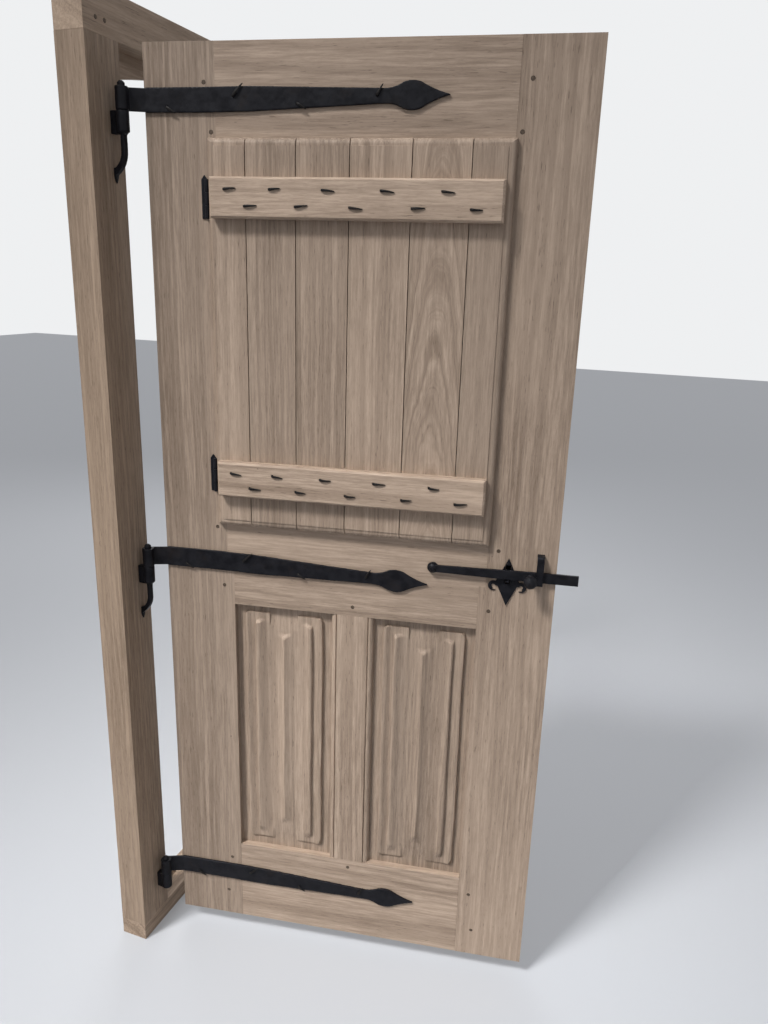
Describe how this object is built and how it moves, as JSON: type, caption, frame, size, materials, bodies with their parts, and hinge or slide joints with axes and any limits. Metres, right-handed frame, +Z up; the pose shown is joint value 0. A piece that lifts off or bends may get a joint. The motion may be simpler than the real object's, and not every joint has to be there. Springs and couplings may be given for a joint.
{
  "type": "hinged wooden entrance door with frame",
  "caption": "Wooden entrance door in a frame with an arched soffit: linenfold panels, an inner shutter over a glazed opening, forged strap hinges and a thumb latch.",
  "frame": {"origin": "middle of the sill's underside, halfway through the frame's depth", "axes": "+X along the frame from the hinge jamb to the latch jamb, +Y from the room towards the street, +Z up"},
  "size_m": [1.064, 1.0179, 2.133],
  "materials": {
    "frame_wood": "planed oak, unvarnished, satin",
    "leaf_wood": "planed oak, unvarnished, satin",
    "panel_wood": "carved oak, unvarnished, satin",
    "shutter_wood": "planed oak, unvarnished, satin",
    "peg_wood": "dark end grain",
    "forged_iron": "black, hammered, satin",
    "nail_iron": "black, hammered, matt",
    "glass": "clear, smooth"
  },
  "bodies": {
    "frame": {"hinge_jamb": "frame_wood", "latch_jamb": "frame_wood", "frame_head": "frame_wood", "frame_sill": "frame_wood", "frame_pegs": "peg_wood", "gudgeon_bottom": "forged_iron", "gudgeon_middle": "forged_iron", "gudgeon_top": "forged_iron", "latch_catch": "forged_iron"},
    "leaf": {"hinge_stile": "leaf_wood", "latch_stile": "leaf_wood", "top_rail": "leaf_wood", "lock_rail": "leaf_wood", "bottom_rail": "leaf_wood", "muntin": "leaf_wood", "panel_left": "panel_wood", "panel_right": "panel_wood", "leaf_pegs": "peg_wood", "glass_pane": "glass", "bead_left": "leaf_wood", "bead_right": "leaf_wood", "bead_bottom": "leaf_wood", "bead_top": "leaf_wood", "strap_bottom": "forged_iron", "strap_middle": "forged_iron", "strap_top": "forged_iron", "strap_nails": "nail_iron", "shutter_hinge_fixed_bottom": "forged_iron", "shutter_hinge_fixed_top": "forged_iron", "latch_pivot": "forged_iron", "latch_plate": "forged_iron", "latch_keeper": "forged_iron", "outer_plate": "forged_iron", "lever_pin": "forged_iron", "pull_handle": "forged_iron"},
    "shutter": {"shutter_plank_1": "shutter_wood", "shutter_plank_2": "shutter_wood", "shutter_plank_3": "shutter_wood", "shutter_plank_4": "shutter_wood", "shutter_plank_5": "shutter_wood", "shutter_plank_6": "shutter_wood", "batten_bottom": "shutter_wood", "batten_top": "shutter_wood", "batten_nails": "nail_iron", "shutter_hinge_wing_bottom": "forged_iron", "shutter_hinge_wing_top": "forged_iron"},
    "latch_bar": {"latch_bar": "forged_iron", "latch_knob": "forged_iron"},
    "thumb_lever": {"thumb_lever": "forged_iron"}
  },
  "joints": [
    {"name": "leaf_swing", "type": "hinge", "parent": "frame", "child": "leaf", "pos_m": [-0.466, -0.0585, 1], "axis": [0, 0, 1], "range_deg": [-90, 80]},
    {"name": "shutter_swing", "type": "hinge", "parent": "leaf", "child": "shutter", "pos_m": [-0.42008, -0.21236, 1.487], "axis": [0, 0, -1], "range_deg": [0, 110]},
    {"name": "latch_lift", "type": "hinge", "parent": "leaf", "child": "latch_bar", "pos_m": [-0.33074, -0.68452, 1.0435], "axis": [-0.9848, -0.1736, 0], "range_deg": [0, 7]},
    {"name": "thumb_press", "type": "hinge", "parent": "leaf", "child": "thumb_lever", "pos_m": [-0.25111, -0.83092, 1.02852], "axis": [-0.1736, 0.9848, 0], "range_deg": [0, 16.87]}
  ],
  "couplings": [
    {"joint": "thumb_press", "follows": "latch_lift", "ratio": 2.41}
  ]
}
